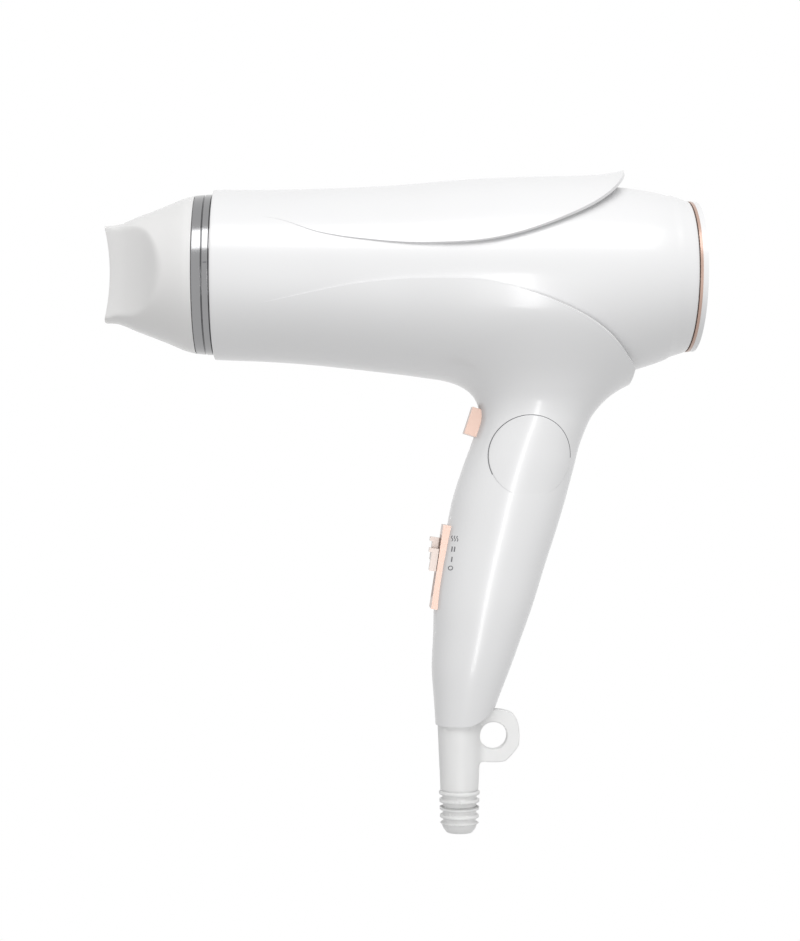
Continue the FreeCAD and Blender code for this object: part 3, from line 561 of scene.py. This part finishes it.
def sleeve_field(x, y, z):
    """Tapered sleeve with ribs, and the hang loop moulded on its side."""
    along = z - SLEEVE_END
    top = FOOT - SLEEVE_END
    radius = 6.75 + (8.3 - 6.75) * np.clip((along - 5) / (top - 5), 0, 1)
    radius = radius - 1.9 * np.clip(1 - along / 4, 0, 1) ** 2
    ribs = np.clip(np.cos((along - 6.2) / 2.95 * 2 * math.pi) * 2.2 - 0.4, -0.75, 0.75)
    radius = radius + np.where((along > 3.4) & (along < 16.2), ribs * 0.75, 0)
    sleeve = np.hypot(x - SLEEVE_X, y) - radius
    dx = x + 1.5
    dz = z + 55.3
    slant = np.abs(dx * 0.77 - dz * 0.64 - 0.6) - 9.8
    block = np.maximum.reduce([np.abs(dx - 0.4) - 9.9, np.abs(dz) - 10.4, slant])
    outer = blended_out(block, np.hypot(dx, dz) - 11.2)
    plate = np.maximum(outer, np.abs(y) - 2.4)
    both = blended(sleeve, plate, 2.4)
    hole = 5.25 - np.hypot(dx, dz)
    return np.maximum.reduce([both, hole, -along])


def blended_out(a, b):
    """Intersection of two fields with a soft corner."""
    return -blended(-a, -b, 3.0)


def sleeve_trim(x, y, z):
    return np.maximum(z - heel(x) + 0.12, SLEEVE_END - z)


def cord_sleeve():
    low = (-24, -9.6, SLEEVE_END - 1)
    high = (10.5, 9.6, -42)
    spots, faces = net(sleeve_field, low, high, 0.4)
    keep = sleeve_trim(*spots[faces].mean(1).T) < 0.6
    piece = mesh("cord_sleeve", spots, faces[keep], SOFT, "casing")
    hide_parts("cord_sleeve")
    return piece


# ------------------------------------------------------------------ printed marks and painted shadow strokes

def mark_strip(name, path, width=0.42):
    """A dark stroke laid on the left side of the handle along (x, z) points: the printed marks, and the
    painted shadow line round the side pad.
    """
    spots = []
    for index, (x, z) in enumerate(path):
        before = np.array(path[max(index - 1, 0)])
        after = np.array(path[min(index + 1, len(path) - 1)])
        along = (after - before) / np.linalg.norm(after - before)
        for side in (-0.5, 0.5):
            spots.append((x - along[1] * width * side, -13.0, z + along[0] * width * side))
    spots = np.array(spots)
    for _ in range(14):
        step = lower_field(spots[:, 0], spots[:, 1] + 0.02, spots[:, 2]) - lower_field(
            spots[:, 0], spots[:, 1] - 0.02, spots[:, 2])
        spots[:, 1] -= np.clip(lower_field(*spots.T) * 0.04 / np.minimum(step, -1e-3), -2, 2)
    normal = slope_of(lower_field, spots)
    spots = spots + normal / np.linalg.norm(normal, axis=1, keepdims=True) * 0.03
    piece = mesh(name, spots, grid_faces(len(path), 2), PRINT_AND_PAINTED_SHADOW, "casing")
    return piece


def printed_marks():
    """Heat sign, two, one and off, beside the slide switches."""
    lean = math.tan(math.radians(8.5))

    def at(across, height):
        return (-17.0 + across + (height - 18) * lean, height)

    waves = [[at(shift + 0.28 * math.sin(t * 2 * math.pi), 18.9 + 2.0 * t) for t in np.linspace(0, 1, 12)]
             for shift in (-0.9, 0, 0.9)]
    for index, wave in enumerate(waves):
        mark_strip("mark_heat_%d" % index, wave, 0.28)
    for index, shift in enumerate((-0.45, 0.45)):
        mark_strip("mark_two_%d" % index, [at(shift, 15.0 + t) for t in np.linspace(0, 1.9, 4)], 0.4)
    mark_strip("mark_one", [at(0, 11.2 + t) for t in np.linspace(0, 1.9, 4)], 0.4)
    ring = [at(0.75 * math.sin(a), 8.9 + 0.75 * math.cos(a)) for a in np.linspace(0, 2 * math.pi, 25)]
    mark_strip("mark_off", ring, 0.3)


# ------------------------------------------------------------------ light and camera

def area(name, where, target, width, height, power):
    lamp = bpy.data.lights.new(name, "AREA")
    lamp.shape = "RECTANGLE"
    lamp.size = width
    lamp.size_y = height
    lamp.energy = power
    item = bpy.data.objects.new(name, lamp)
    item.location = where
    item.rotation_euler = (Vector(target) - Vector(where)).to_track_quat("-Z", "Y").to_euler()
    bpy.context.collection.objects.link(item)


def studio():
    """White surround, a broad lamp above the object's front, and a narrow upright lamp beside the camera."""
    world = bpy.data.worlds.new("studio")
    bpy.context.scene.world = world
    world.use_nodes = True
    nodes = world.node_tree.nodes
    links = world.node_tree.links
    ambient = nodes["Background"]
    ambient.inputs["Color"].default_value = (1, 1, 1, 1)
    ambient.inputs["Strength"].default_value = 0.5
    backdrop = nodes.new("ShaderNodeBackground")
    backdrop.inputs["Color"].default_value = (1, 1, 1, 1)
    backdrop.inputs["Strength"].default_value = 1.0
    rays = nodes.new("ShaderNodeLightPath")
    seen = rays.outputs["Is Camera Ray"]
    for kind in ("Is Glossy Ray", "Is Transmission Ray"):
        either = nodes.new("ShaderNodeMath")
        either.operation = "MAXIMUM"
        links.new(seen, either.inputs[0])
        links.new(rays.outputs[kind], either.inputs[1])
        seen = either.outputs[0]
    mix = nodes.new("ShaderNodeMixShader")
    links.new(seen, mix.inputs["Fac"])
    links.new(ambient.outputs[0], mix.inputs[1])
    links.new(backdrop.outputs[0], mix.inputs[2])
    links.new(mix.outputs[0], nodes["World Output"].inputs["Surface"])
    area("top", (0.05, -0.50, 0.68), (0, 0, 0.1), 0.9, 0.4, 3.9)
    area("strip", (0.03, -0.80, -0.10), (0.01, 0, -0.03), 0.07, 0.55, 1.4)


def camera():
    """A camera level with the object's middle, a little towards the nozzle."""
    distance = 0.665
    target = Vector((-0.0369, 0, 0.0454))
    lens = bpy.data.cameras.new("camera")
    lens.sensor_fit = "HORIZONTAL"
    lens.sensor_width = 36
    lens.lens = 36 * distance / (800 * 0.00038)
    item = bpy.data.objects.new("camera", lens)
    turn = math.radians(2)
    item.location = target + distance * Vector((-math.sin(turn), -math.cos(turn), 0))
    item.rotation_euler = (target - item.location).to_track_quat("-Z", "Y").to_euler()
    bpy.context.collection.objects.link(item)
    bpy.context.scene.camera = item


dress_cad()
left = barrel_half(-1)
right = barrel_half(1)
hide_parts("casing_left")
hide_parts("casing_right")
lower_left = lower_half(-1)
lower_right = lower_half(1)
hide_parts("lower_cover")
chin_end()
side_pad(-1)
side_pad(1)
pad_line()
top_cover()
nozzle()
collar()
cord_sleeve()
printed_marks()
studio()
camera()
bpy.context.scene.view_settings.view_transform = "Standard"
